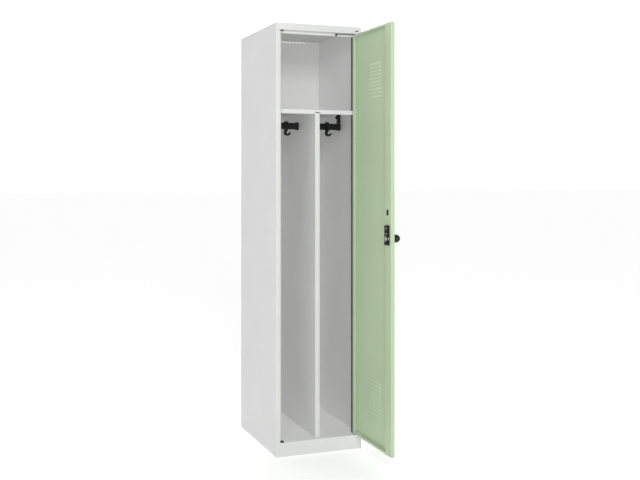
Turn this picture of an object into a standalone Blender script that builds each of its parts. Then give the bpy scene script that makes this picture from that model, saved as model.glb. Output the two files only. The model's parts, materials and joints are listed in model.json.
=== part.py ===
"""School locker: one steel carcass with a plinth, a hat shelf, a centre partition and two coat
rails, and one pivot-hung door with a turn latch. The door stands open at a right angle.

Metres, +Z up. The origin is on the floor under the middle of the front plinth's bottom return, and
the front faces -Y.
Carcass sizes are measured from the carcass's front left corner: x to the right, y to the back.
Door pieces are measured in the same way with the door shut, and hang on an empty on the hinge axis.
"""
import math

import bmesh
import bpy
from mathutils import Matrix, Vector

# --- driving dimensions ---------------------------------------------------------------------
WIDTH = 0.400
DEPTH = 0.480
HEIGHT = 1.850
ORIGIN = (WIDTH / 2, 0.0075, 0.0)
SHEET = 0.001
FOLD_RADIUS = 0.0018
GAP = 0.0003

PLINTH_TOP = 0.0605
HEADER_BOTTOM = 1.8200
STILE = 0.0195
STOP_FRONT = 0.0200
STOP_WIDTH = 0.0105
STOP_RETURN = 0.0180
STOP_TOP_EDGE = 1.8084
BACK_INNER = 0.4660
REAR_FLANGE = 0.0150

SHELF_TOP = 1.4835
SHELF_FLANGE = 0.0180
PARTITION_LEFT = 0.1886
PARTITION_FACE = 0.0215
PARTITION_TOP = 1.4695

RAIL_Y = 0.2200
RAIL_Z = 1.4235
RAIL_TALL = 0.0300
RAIL_THICK = 0.0150
HOOK_LEFT_X = 0.1300
HOOK_RIGHT_X = 0.3330

PIVOT_X = 0.3720
PIVOT_Y = 0.0065
PIVOT_PIN_RADIUS = 0.0025
DOOR_LEFT = 0.0220
DOOR_RIGHT = 0.3775
DOOR_BOTTOM = 0.0670
DOOR_TOP = 1.8155
DOOR_THICK = 0.0165
SIDE_LIP = 0.0150
END_LIP = 0.0080
STIFFENER_RIGHT = 0.0740
OPEN_ANGLE = math.radians(90)

LOUVRE_CENTRE = 0.1915
LOUVRE_WIDTH = 0.1070
LOUVRE_PITCH = 0.0152
LOUVRE_COUNT = 10
LOUVRE_FIRST = (0.1945, 1.5320)

LOCK_X = 0.0500
LOCK_Z = 0.9440
CASE_LEFT = 0.0335
CASE_RIGHT = 0.0612
CASE_BOTTOM = 0.9180
CASE_TOP = 0.9980
CASE_DEEP = 0.0095
CASE_SCREWS = (0.9640, 0.9860)
PLUG_X = 0.0500
PLUG_Z = 1.0490
BOLT_REACH = 0.0027
KNOB_RADIUS = 0.0170
KNOB_REACH = 0.0360

ARC_STEPS = 3
ROUND_STEPS = 24


# --- scene and materials --------------------------------------------------------------------
def clear_scene():
    for item in list(bpy.data.objects):
        bpy.data.objects.remove(item, do_unlink=True)


def new_collection(name):
    group = bpy.data.collections.new(name)
    bpy.context.scene.collection.children.link(group)
    return group


def principled(name, colour, roughness, metallic=0.0):
    material = bpy.data.materials.new(name)
    material.use_nodes = True
    shader = material.node_tree.nodes["Principled BSDF"]
    shader.inputs["Base Color"].default_value = (*colour, 1.0)
    shader.inputs["Roughness"].default_value = roughness
    shader.inputs["Metallic"].default_value = metallic
    material.diffuse_color = (*colour, 1.0)
    return material


clear_scene()
PARTS = new_collection("school_locker")
CUTTERS = new_collection("cutters")
GREY_PAINT = principled("light_grey_paint", (0.70, 0.71, 0.71), 0.45)
GREEN_PAINT = principled("pastel_green_paint", (0.40, 0.52, 0.36), 0.45)
BLACK_PLASTIC = principled("black_plastic", (0.015, 0.015, 0.016), 0.40)
BLACK_RUBBER = principled("black_rubber", (0.020, 0.020, 0.021), 0.75)
BLACK_STEEL = principled("black_coated_steel", (0.018, 0.018, 0.019), 0.35)
ZINC_STEEL = principled("zinc_plated_steel", (0.62, 0.63, 0.65), 0.30, 1.0)


class Frame:
    """Where a group of pieces is measured from, and the empty that carries it."""

    def __init__(self, zero, empty=None):
        self.shift = Matrix.Translation(-Vector(zero))
        self.empty = empty


def hinge_empty(name, location, parent=None, turn=0.0):
    empty = bpy.data.objects.new(name, None)
    PARTS.objects.link(empty)
    empty.parent = parent
    empty.location = location
    empty.rotation_euler.z = turn
    return empty


CARCASS = Frame(ORIGIN)
DOOR_EMPTY = hinge_empty("door_hinge", (PIVOT_X - ORIGIN[0], PIVOT_Y - ORIGIN[1], 0.0), None, OPEN_ANGLE)
DOOR = Frame((PIVOT_X, PIVOT_Y, 0.0), DOOR_EMPTY)
LOCK_EMPTY = hinge_empty("lock_axis", (LOCK_X - PIVOT_X, -PIVOT_Y, LOCK_Z), DOOR_EMPTY)
LOCK = Frame((LOCK_X, 0.0, LOCK_Z), LOCK_EMPTY)


# --- mesh helpers ---------------------------------------------------------------------------
def finish(name, mesh_work, frame, material, smooth=False):
    """Turn a bmesh measured from the carcass corner into a named object on its frame."""
    bmesh.ops.transform(mesh_work, matrix=frame.shift, verts=mesh_work.verts)
    mesh = bpy.data.meshes.new(name)
    mesh_work.to_mesh(mesh)
    mesh_work.free()
    item = bpy.data.objects.new(name, mesh)
    item.parent = frame.empty
    if material is None:
        CUTTERS.objects.link(item)
        item.hide_render = True
        item.display_type = "WIRE"
        return item
    PARTS.objects.link(item)
    mesh.materials.append(material)
    if smooth:
        mesh.shade_smooth()
        mesh.set_sharp_from_angle(angle=math.radians(40))
    return item


def box_work(low, high, bevel=0.0, steps=2):
    work = bmesh.new()
    bmesh.ops.create_cube(work, size=1.0)
    size = Vector(high) - Vector(low)
    bmesh.ops.scale(work, vec=size, verts=work.verts)
    bmesh.ops.translate(work, vec=(Vector(low) + Vector(high)) / 2, verts=work.verts)
    if bevel:
        bmesh.ops.bevel(work, geom=work.edges[:], offset=bevel, segments=steps, affect="EDGES", profile=0.5)
    return work


def box(name, low, high, frame=CARCASS, material=None, bevel=0.0):
    return finish(name, box_work(low, high, bevel), frame, material)


def cylinder_work(centre, radius, length, axis="Z", top_radius=None, steps=ROUND_STEPS):
    work = bmesh.new()
    top = radius if top_radius is None else top_radius
    bmesh.ops.create_cone(work, cap_ends=True, segments=steps, radius1=radius, radius2=top, depth=length)
    turns = {"X": Matrix.Rotation(math.pi / 2, 4, "Y"), "Y": Matrix.Rotation(math.pi / 2, 4, "X")}
    if axis in turns:
        bmesh.ops.transform(work, matrix=turns[axis], verts=work.verts)
    bmesh.ops.translate(work, vec=centre, verts=work.verts)
    return work


def cylinder(name, centre, radius, length, axis="Z", frame=CARCASS, material=None, top_radius=None):
    work = cylinder_work(centre, radius, length, axis, top_radius)
    return finish(name, work, frame, material, smooth=material is not None)


def prism_work(outline, plane, low, high):
    """Extrude a closed outline. plane names the outline's two axes; low..high runs on the third."""
    spots = {"XZ": lambda p, h: (p[0], h, p[1]), "YZ": lambda p, h: (h, p[0], p[1]),
             "XY": lambda p, h: (p[0], p[1], h)}[plane]
    work = bmesh.new()
    face = work.faces.new([work.verts.new(spots(point, low)) for point in outline])
    grown = bmesh.ops.extrude_face_region(work, geom=[face])
    moved = [part for part in grown["geom"] if isinstance(part, bmesh.types.BMVert)]
    bmesh.ops.translate(work, vec=Vector(spots((0, 0), high)) - Vector(spots((0, 0), low)), verts=moved)
    bmesh.ops.recalc_face_normals(work, faces=work.faces[:])
    return work


def prism(name, outline, plane, low, high, frame=CARCASS, material=None, smooth=False):
    return finish(name, prism_work(outline, plane, low, high), frame, material, smooth)


def rounded_path(points, radius=FOLD_RADIUS):
    """An open path whose inner corners are arcs of ARC_STEPS steps."""
    path = [Vector(points[0])]
    for before, corner, after in zip(points, points[1:], points[2:]):
        corner = Vector(corner)
        into = (Vector(before) - corner).normalized()
        away = (Vector(after) - corner).normalized()
        half = into.angle(away) / 2
        reach = radius / math.tan(half)
        centre = corner + (into + away).normalized() * radius / math.sin(half)
        start = corner + into * reach - centre
        end = corner + away * reach - centre
        sweep = start.angle_signed(end)
        for step in range(ARC_STEPS + 1):
            turned = Matrix.Rotation(-sweep * step / ARC_STEPS, 2) @ start
            path.append(centre + turned)
    path.append(Vector(points[-1]))
    return path


def folded_sheet(name, points, plane, low, high, frame=CARCASS, material=GREY_PAINT, radius=FOLD_RADIUS):
    """A bent sheet: a path along the sheet's middle, drawn out from low to high, then thickened."""
    spots = {"XY": lambda p, h: (p[0], p[1], h), "YZ": lambda p, h: (h, p[0], p[1])}[plane]
    work = bmesh.new()
    line = [work.verts.new(spots(point, low)) for point in rounded_path(points, radius)]
    edges = [work.edges.new(pair) for pair in zip(line, line[1:])]
    grown = bmesh.ops.extrude_edge_only(work, edges=edges)
    moved = [part for part in grown["geom"] if isinstance(part, bmesh.types.BMVert)]
    bmesh.ops.translate(work, vec=Vector(spots((0, 0), high)) - Vector(spots((0, 0), low)), verts=moved)
    item = finish(name, work, frame, material, smooth=True)
    thicken = item.modifiers.new("thickness", "SOLIDIFY")
    thicken.thickness = SHEET
    thicken.offset = 0.0
    thicken.use_even_offset = True
    return item


def cut(item, cutter, operation="DIFFERENCE"):
    change = item.modifiers.new(operation.lower(), "BOOLEAN")
    change.operation = operation
    change.object = cutter
    return item


def join_works(works):
    """Put several separate shapes in one bmesh, to serve as one cutter."""
    total = bmesh.new()
    for work in works:
        mesh = bpy.data.meshes.new("joining")
        work.to_mesh(mesh)
        work.free()
        total.from_mesh(mesh)
        bpy.data.meshes.remove(mesh)
    return total


def oval_outline(half_wide, half_tall, centre=(0.0, 0.0), steps=8):
    """A slot shape with round ends at its top and bottom, or left and right if it is wider."""
    radius = min(half_wide, half_tall)
    points = []
    for side in (0, 1):
        for step in range(steps + 1):
            angle = math.pi * (side + step / steps)
            rise = (half_tall - radius) * (1 if side == 0 else -1)
            x = radius * math.cos(angle)
            z = radius * math.sin(angle) + rise
            if half_wide > half_tall:
                slide = (half_wide - radius) * (1 if side == 0 else -1)
                x, z = radius * math.sin(angle) + slide, -radius * math.cos(angle)
            points.append((centre[0] + x, centre[1] + z))
    return points


# --- carcass --------------------------------------------------------------------------------
def side_panel(name, mirror):
    """Side wall, front stile, door stop and its return, and the rear flange, from one folded sheet."""
    half = SHEET / 2
    path = [(REAR_FLANGE, DEPTH - half), (half, DEPTH - half), (half, half), (STILE - half, half),
            (STILE - half, STOP_FRONT + half), (STILE + STOP_WIDTH - half, STOP_FRONT + half),
            (STILE + STOP_WIDTH - half, STOP_FRONT + SHEET + STOP_RETURN)]
    if mirror:
        path = [(WIDTH - x, y) for x, y in path]
    panel = folded_sheet(name, path, "XY", 0.0, HEIGHT)
    inner = SHEET + GAP
    outer = STILE + 2 * STOP_WIDTH
    span = (WIDTH - outer, WIDTH - inner) if mirror else (inner, outer)
    behind = (WIDTH - outer, WIDTH - STILE + 2 * SHEET) if mirror else (STILE - 2 * SHEET, outer)
    rear_span = (WIDTH - 2 * REAR_FLANGE, WIDTH - inner) if mirror else (inner, 2 * REAR_FLANGE)
    clearances = [
        box_work((span[0], -GAP, HEADER_BOTTOM - GAP), (span[1], DEPTH / 2, HEIGHT + GAP)),
        box_work((behind[0], STOP_FRONT - FOLD_RADIUS, -GAP), (behind[1], DEPTH / 2, PLINTH_TOP + GAP)),
        box_work((behind[0], STOP_FRONT - FOLD_RADIUS, STOP_TOP_EDGE - GAP),
                 (behind[1], DEPTH / 2, HEADER_BOTTOM + SHEET)),
        box_work((rear_span[0], DEPTH / 2, HEIGHT - SHEET - GAP),
                 (rear_span[1], DEPTH + GAP, HEIGHT + GAP)),
    ]
    for index, work in enumerate(clearances):
        cut(panel, finish("%s_trim_%d" % (name, index), work, CARCASS, None))
    return panel


def strike_slot(panel):
    """The opening in the latch-side return that the bolt passes through."""
    cutter = box("strike_slot", (STILE + SHEET, STOP_FRONT + 0.0012, LOCK_Z - 0.0075),
                 (STILE + STOP_WIDTH + SHEET, STOP_FRONT + 0.0085, LOCK_Z + 0.0075))
    cut(panel, cutter)


def roof_panel():
    """Roof, header face, header underside and the top door stop, from one folded sheet."""
    half = SHEET / 2
    path = [(DEPTH - SHEET - GAP, HEIGHT - half), (half, HEIGHT - half), (half, HEADER_BOTTOM + half),
            (STOP_FRONT + half, HEADER_BOTTOM + half), (STOP_FRONT + half, STOP_TOP_EDGE + half),
            (STOP_FRONT + STOP_RETURN, STOP_TOP_EDGE + half)]
    panel = folded_sheet("roof_panel", path, "YZ", SHEET + 2 * GAP, WIDTH - SHEET - 2 * GAP)
    access = prism_work(oval_outline(0.0090, 0.0042, (0.3788, 1.8320)), "XZ", -0.004, 0.004)
    pin_hole = cylinder_work((PIVOT_X, PIVOT_Y, HEADER_BOTTOM), PIVOT_PIN_RADIUS + GAP, 0.006)
    cut(panel, finish("roof_holes", join_works([access, pin_hole]), CARCASS, None))
    return panel


def plinth_panel():
    """Kick face between the stiles; its top return carries the lower pivot, its bottom one stands down."""
    half = SHEET / 2
    path = [(STOP_FRONT, PLINTH_TOP - half), (half, PLINTH_TOP - half), (half, half), (0.0150, half)]
    panel = folded_sheet("plinth_panel", path, "YZ", STILE + GAP, WIDTH - STILE - GAP)
    hole = cylinder("plinth_pin_hole", (PIVOT_X, PIVOT_Y, PLINTH_TOP), PIVOT_PIN_RADIUS + GAP, 0.006)
    cut(panel, hole)
    return panel


def floor_panel():
    half = SHEET / 2
    low_edge = PLINTH_TOP - 0.0150
    path = [(STOP_FRONT + GAP + half, low_edge), (STOP_FRONT + GAP + half, PLINTH_TOP - half),
            (BACK_INNER - GAP - half, PLINTH_TOP - half), (BACK_INNER - GAP - half, low_edge)]
    return folded_sheet("floor_panel", path, "YZ", SHEET + GAP, WIDTH - SHEET - GAP, radius=0.0008)


def back_panel():
    """Recessed back sheet with rearward flanges and a row of vent slots under the roof."""
    half = SHEET / 2
    edge = SHEET + GAP + half
    rear = DEPTH - 2 * SHEET
    front = BACK_INNER + half
    path = [(edge, rear), (edge, front), (WIDTH - edge, front), (WIDTH - edge, rear)]
    panel = folded_sheet("back_panel", path, "XY", 0.0, HEIGHT - SHEET - GAP)
    slots = 14
    pitch = 0.0180
    first = WIDTH / 2 - pitch * (slots - 1) / 2
    works = []
    for index in range(slots):
        outline = oval_outline(0.0060, 0.0014, (first + index * pitch, HEIGHT - 0.0045), steps=4)
        works.append(prism_work(outline, "XZ", BACK_INNER - 0.004, BACK_INNER + 0.004))
    cut(panel, finish("vent_slots", join_works(works), CARCASS, None))
    return panel


def hat_shelf():
    """Shelf pan with front and side flanges, notched round the door stops and over the partition."""
    side = SHEET + 2 * GAP
    low = SHELF_TOP - SHELF_FLANGE
    far = BACK_INNER - GAP
    shelf = box("hat_shelf", (side, STOP_FRONT, low), (WIDTH - side, far, SHELF_TOP), material=GREY_PAINT)
    notch = STILE + STOP_WIDTH + 2 * GAP
    notch_back = STOP_FRONT + SHEET + STOP_RETURN + 2 * GAP
    strip = 0.0015 + GAP
    hollow = box_work((side + SHEET, STOP_FRONT + SHEET, low - SHEET),
                      (WIDTH - side - SHEET, far + SHEET, SHELF_TOP - SHEET))
    cut(shelf, finish("shelf_hollow", hollow, CARCASS, None))
    corners = [box_work((-SHEET, 0.0, low - SHEET), (notch, notch_back, HEIGHT)),
               box_work((WIDTH - notch - strip, 0.0, low - SHEET), (WIDTH + SHEET, notch_back, HEIGHT)),
               box_work((PARTITION_LEFT - 2 * GAP, 0.0, low - SHEET),
                        (PARTITION_LEFT + PARTITION_FACE + 2 * GAP, STOP_FRONT + 2 * SHEET, low + 0.0090))]
    cut(shelf, finish("shelf_notches", join_works(corners), CARCASS, None))
    return shelf


def partition():
    """Centre partition: a web with a folded front face, standing on the floor under the shelf."""
    half = SHEET / 2
    left = PARTITION_LEFT + half
    right = PARTITION_LEFT + PARTITION_FACE - half
    front = STOP_FRONT + half
    path = [(right, front + 0.0120), (right, front), (left, front), (left, BACK_INNER - GAP - half),
            (left + 0.0140, BACK_INNER - GAP - half)]
    wall = folded_sheet("centre_partition", path, "XY", PLINTH_TOP + GAP, SHELF_TOP - SHEET - GAP)
    trim = box("partition_trim", (PARTITION_LEFT - SHEET, 0.0, PARTITION_TOP),
               (right + SHEET, STOP_FRONT + 0.0145, HEIGHT))
    cut(wall, trim)
    return wall


def shelf_clips():
    """Four small angle clips on the side walls that the shelf rests on."""
    reach = 0.0090
    for side, x in (("left", SHEET + GAP), ("right", WIDTH - SHEET - GAP)):
        inward = 1 if side == "left" else -1
        for place, y in (("front", 0.0700), ("rear", 0.4000)):
            top = SHELF_TOP - SHELF_FLANGE - GAP
            tip = x + inward * reach
            web = x + inward * SHEET
            outline = [(x, top), (tip, top), (tip, top - SHEET), (web, top - SHEET),
                       (web, top - 0.0120), (x, top - 0.0120)]
            if inward < 0:
                outline = outline[::-1]
            prism("shelf_clip_%s_%s" % (side, place), outline, "XZ", y, y + 0.0200, material=ZINC_STEEL)


def hinge_side_strip():
    """Flat black strip on the hinge-side return of the door stop."""
    face = WIDTH - STILE - STOP_WIDTH - GAP
    low = (face - 0.0015, STOP_FRONT + SHEET + GAP, PLINTH_TOP + 0.0020)
    high = (face, STOP_FRONT + STOP_RETURN, STOP_TOP_EDGE - 2 * GAP)
    box("hinge_side_strip", low, high, material=BLACK_RUBBER)


def domed_cap(name, x, y, z, radius, tall, frame, up):
    """A round plastic cap with a rounded top: a turned profile."""
    work = bmesh.new()
    base = 0.45 * tall
    rows = 4
    spots = [Vector((0.0, 0.0, 0.0)), Vector((radius, 0.0, 0.0)), Vector((radius, 0.0, base))]
    for step in range(1, rows):
        angle = math.pi / 2 * step / rows
        inset = radius * 0.45 * (1 - math.cos(angle))
        spots.append(Vector((radius - inset, 0.0, base + (tall - base) * math.sin(angle))))
    spots.append(Vector((radius * 0.45, 0.0, tall)))
    spots.append(Vector((0.0, 0.0, tall)))
    line = [work.verts.new(spot) for spot in spots]
    edges = [work.edges.new(pair) for pair in zip(line, line[1:])]
    bmesh.ops.spin(work, geom=line + edges, cent=(0, 0, 0), axis=(0, 0, 1), angle=2 * math.pi,
                   steps=ROUND_STEPS, use_duplicate=False)
    bmesh.ops.remove_doubles(work, verts=work.verts[:], dist=0.00002)
    if not up:
        bmesh.ops.scale(work, vec=(1, 1, -1), verts=work.verts)
    bmesh.ops.recalc_face_normals(work, faces=work.faces[:])
    bmesh.ops.translate(work, vec=(x, y, z), verts=work.verts)
    return finish(name, work, frame, BLACK_PLASTIC, smooth=True)


def blanking_caps():
    """Caps over the spare pivot holes on the latch side."""
    domed_cap("lower_blanking_cap", 0.0295, 0.0095, PLINTH_TOP + GAP, 0.0088, 0.0055, CARCASS, True)
    domed_cap("upper_blanking_cap", 0.0295, 0.0095, HEADER_BOTTOM - GAP, 0.0088, 0.0032, CARCASS, False)


def pivot_bush(name, z, tall, up):
    bush = domed_cap(name, PIVOT_X, PIVOT_Y, z, 0.0060, tall, CARCASS, up)
    bore = cylinder(name + "_bore", (PIVOT_X, PIVOT_Y, z), PIVOT_PIN_RADIUS + GAP, 0.030)
    cut(bush, bore)


def hold_open_spring():
    """A straight spring wire under the header, between a small anchor and the upper pivot."""
    z = 1.8173
    radius = 0.0013
    anchor_x = 0.2872
    anchor = cylinder_work((anchor_x, STOP_FRONT - GAP - 0.0016, 1.8139), 0.0052, 0.0031, "Y", steps=20)
    finish("spring_anchor", anchor, CARCASS, BLACK_PLASTIC, smooth=True)
    start = Vector((anchor_x + 0.0060, 0.0176, z))
    end = Vector((PIVOT_X - 0.0070, 0.0105, z))
    along = end - start
    wire = cylinder_work((0, 0, 0), radius, along.length, steps=10)
    bmesh.ops.transform(wire, matrix=along.to_track_quat("Z", "Y").to_matrix().to_4x4(), verts=wire.verts)
    bmesh.ops.translate(wire, vec=(start + end) / 2, verts=wire.verts)
    finish("hold_open_spring", wire, CARCASS, BLACK_STEEL, smooth=True)


# --- coat rails -----------------------------------------------------------------------------
def oval_work(half_thick, half_tall, low, high):
    return prism_work(oval_outline(half_thick, half_tall, (RAIL_Y, RAIL_Z)), "YZ", low, high)


def coat_rail(name, low, high):
    """An oval steel tube: the outer oval with its bore cut out."""
    rail = finish(name, oval_work(RAIL_THICK / 2, RAIL_TALL / 2, low, high), CARCASS, BLACK_STEEL, True)
    bore = finish(name + "_bore", oval_work(RAIL_THICK / 2 - 0.0012, RAIL_TALL / 2 - 0.0012,
                                            low - 0.001, high + 0.001), CARCASS, None)
    cut(rail, bore)


def rail_socket(name, wall_x, inward):
    """Flared oval cup on the partition that holds a rail's inner end."""
    length = 0.0140
    mouth = wall_x + inward * length
    pocket = sorted((wall_x + inward * 0.0030, mouth + inward * 0.001))
    ends = sorted((wall_x, mouth))
    socket = finish(name, oval_work(RAIL_THICK / 2 + 0.0028, RAIL_TALL / 2 + 0.0028, *ends),
                    CARCASS, BLACK_PLASTIC, True)
    hollow = oval_work(RAIL_THICK / 2 + GAP, RAIL_TALL / 2 + GAP, *pocket)
    cut(socket, finish(name + "_pocket", hollow, CARCASS, None))


def rail_hanger(name, wall_x, inward):
    """Post from the shelf down to a rail's outer end, with a foot, a rib and an oval pocket."""
    width = 0.0135
    top = SHELF_TOP - SHEET - GAP
    foot = 0.0025
    xs = sorted((wall_x, wall_x + inward * width))
    foot_xs = sorted((wall_x, wall_x + inward * 0.0330))
    inner = wall_x + inward * width
    cup = oval_work(RAIL_THICK / 2 + 0.0028, RAIL_TALL / 2 + 0.0022, *xs)
    post = box_work((xs[0], RAIL_Y - 0.0070, RAIL_Z), (xs[1], RAIL_Y + 0.0070, top), 0.0008)
    plate = box_work((foot_xs[0], RAIL_Y - 0.0110, top - foot), (foot_xs[1], RAIL_Y + 0.0110, top))
    rib_spots = ((-0.0010, 1.4585), (-0.0010, 1.4770), (0.0050, 1.4740), (0.0100, 1.4670), (0.0060, 1.4610))
    rib_line = [(inner + inward * out, z) for out, z in rib_spots]
    rib = prism_work(rib_line, "XZ", RAIL_Y - 0.0032, RAIL_Y + 0.0032)
    hanger = finish(name, cup, CARCASS, BLACK_PLASTIC, True)
    for label, work in (("post", post), ("foot", plate), ("rib", rib)):
        cut(hanger, finish("%s_%s" % (name, label), work, CARCASS, None), "UNION")
    pocket = sorted((wall_x + inward * 0.0030, inner + inward * 0.001))
    cut(hanger, finish(name + "_pocket", oval_work(RAIL_THICK / 2 + GAP, RAIL_TALL / 2 + GAP, *pocket),
                       CARCASS, None))
    screw_x = wall_x + inward * 0.0260
    cylinder(name + "_screw", (screw_x, RAIL_Y, top - foot - GAP - 0.0010), 0.0032, 0.0020, "Z",
             material=ZINC_STEEL, top_radius=0.0036)


def hook_line(steps=10):
    """Middle line of the hook's J in x and z from the rail's centre, with its half thickness."""
    spots = [(0.0, -0.0165, 0.0060), (-0.0022, -0.0235, 0.0058)]
    centre_x, centre_z, radius = 0.0060, -0.0300, 0.0100
    for step in range(steps + 1):
        turn = math.radians(180 + 130 * step / steps)
        half = 0.0054 - 0.0012 * step / steps
        spots.append((centre_x + radius * math.cos(turn), centre_z + radius * math.sin(turn), half))
    end_x, end_z = spots[-1][:2]
    slope = math.radians(40)
    spots.append((end_x + 0.0110 * math.cos(slope), end_z + 0.0110 * math.sin(slope), 0.0040))
    return spots


def hook_outline(x):
    """Closed outline of the J: the middle line offset to both sides by its half thickness."""
    line = hook_line()
    left, right = [], []
    for index, (spot_x, spot_z, half) in enumerate(line):
        before = line[max(index - 1, 0)]
        after = line[min(index + 1, len(line) - 1)]
        along = Vector((after[0] - before[0], after[1] - before[1])).normalized()
        aside = Vector((-along.y, along.x)) * half
        left.append((x + spot_x + aside.x, RAIL_Z + spot_z + aside.y))
        right.append((x + spot_x - aside.x, RAIL_Z + spot_z - aside.y))
    return left + right[::-1]


def coat_hook(name, x):
    """Sliding hook: an eye round the rail and a J below it."""
    empty = hinge_empty(name + "_slide", (x - ORIGIN[0], RAIL_Y - ORIGIN[1], RAIL_Z))
    frame = Frame((x, RAIL_Y, RAIL_Z), empty)
    half_wide = 0.0065
    eye = oval_work(RAIL_THICK / 2 + 0.0042, RAIL_TALL / 2 + 0.0072, x - half_wide, x + half_wide)
    hook = finish(name, eye, frame, BLACK_PLASTIC, True)
    tail = prism_work(hook_outline(x), "XZ", RAIL_Y - 0.0055, RAIL_Y + 0.0055)
    cut(hook, finish(name + "_tail", tail, frame, None), "UNION")
    hole = oval_work(RAIL_THICK / 2 + 0.0006, RAIL_TALL / 2 + 0.0006, x - 0.02, x + 0.02)
    cut(hook, finish(name + "_eye", hole, frame, None))


# --- door -----------------------------------------------------------------------------------
def louvre_work(z, inner):
    """One louvre pressed into the door: the outer wedge is its hood, and the inner one hollows it."""
    half = LOUVRE_WIDTH / 2 - (SHEET if inner else 0.0)
    if inner:
        outline = [(-GAP, z + 0.0036), (0.0037, z - 0.0031), (-GAP, z - 0.0031)]
    else:
        outline = [(SHEET / 2, z + 0.0050), (0.0048, z - 0.0030), (SHEET / 2, z - 0.0030)]
    return prism_work(outline, "YZ", LOUVRE_CENTRE - half, LOUVRE_CENTRE + half)


def louvre_heights():
    return [first + index * LOUVRE_PITCH for first in LOUVRE_FIRST for index in range(LOUVRE_COUNT)]


def door_panel():
    """Door pan: outer skin, four folded edges and the lips that close them, with louvres."""
    low = (DOOR_LEFT, 0.0, DOOR_BOTTOM)
    high = (DOOR_RIGHT, DOOR_THICK, DOOR_TOP)
    door = finish("door_panel", box_work(low, high, FOLD_RADIUS, ARC_STEPS), DOOR, GREEN_PAINT, smooth=True)
    hollow = box_work((low[0] + SHEET, SHEET, low[2] + SHEET),
                      (high[0] - SHEET, DOOR_THICK - SHEET, high[2] - SHEET),
                      FOLD_RADIUS - SHEET, ARC_STEPS)
    cut(door, finish("door_hollow", hollow, DOOR, None))
    mouth = box_work((low[0] + SIDE_LIP, DOOR_THICK - 2 * SHEET, low[2] + END_LIP),
                     (high[0] - SIDE_LIP, DOOR_THICK + SHEET, high[2] - END_LIP))
    cut(door, finish("door_mouth", mouth, DOOR, None))
    hoods = join_works([louvre_work(z, False) for z in louvre_heights()])
    mouths = join_works([louvre_work(z, True) for z in louvre_heights()])
    cut(door, finish("louvre_hoods", hoods, DOOR, None), "UNION")
    cut(door, finish("louvre_mouths", mouths, DOOR, None))
    pin_radius = PIVOT_PIN_RADIUS + GAP
    holes = [cylinder_work((LOCK_X, 0.0, LOCK_Z), 0.0043, 0.008, "Y"),
             cylinder_work((PIVOT_X, PIVOT_Y, DOOR_BOTTOM), pin_radius, 0.006),
             cylinder_work((PIVOT_X, PIVOT_Y, DOOR_TOP), pin_radius, 0.006),
             cylinder_work((DOOR_LEFT, 0.0110, 0.9310), 0.0020, 0.006, "X", steps=12)]
    cut(door, finish("door_holes", join_works(holes), DOOR, None))


def door_stiffener():
    """Folded channel behind the lock-side lip, with a window for the lock and a slot for the plug."""
    plate_y = DOOR_THICK - SHEET / 2
    left = DOOR_LEFT + SIDE_LIP + GAP
    right = STIFFENER_RIGHT - SHEET / 2
    foot_y = SHEET + GAP + SHEET / 2
    path = [(left, plate_y), (right, plate_y), (right, foot_y), (right + 0.0100, foot_y)]
    z_low = DOOR_BOTTOM + SHEET + 2 * GAP
    z_high = DOOR_TOP - SHEET - 2 * GAP
    channel = folded_sheet("door_stiffener", path, "XY", z_low, z_high, DOOR, GREEN_PAINT, 0.0012)
    lips = [box_work((left - 0.01, DOOR_THICK - 2 * SHEET, z_low - 0.01),
                     (right + 0.02, DOOR_THICK + 0.01, DOOR_BOTTOM + END_LIP + GAP)),
            box_work((left - 0.01, DOOR_THICK - 2 * SHEET, DOOR_TOP - END_LIP - GAP),
                     (right + 0.02, DOOR_THICK + 0.01, z_high + 0.01))]
    openings = [cylinder_work((LOCK_X, DOOR_THICK, LOCK_Z), 0.0050, 0.008, "Y"),
                prism_work(oval_outline(0.0055, 0.0110, (PLUG_X, PLUG_Z)), "XZ", 0.010, 0.020)]
    cut(channel, finish("stiffener_trim", join_works(lips + openings), DOOR, None))


def blank_plug():
    """Oblong plastic plug in the spare lock opening: a flange and a body that fills the slot."""
    centre = (PLUG_X, PLUG_Z)
    flange = prism_work(oval_outline(0.0068, 0.0126, centre), "XZ", DOOR_THICK + GAP, DOOR_THICK + 0.0022)
    plug = finish("lock_blank_plug", flange, DOOR, BLACK_PLASTIC, True)
    body = prism_work(oval_outline(0.0050, 0.0105, centre), "XZ", DOOR_THICK - 0.0050, DOOR_THICK + 0.0010)
    cut(plug, finish("blank_plug_body", body, DOOR, None), "UNION")


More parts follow.
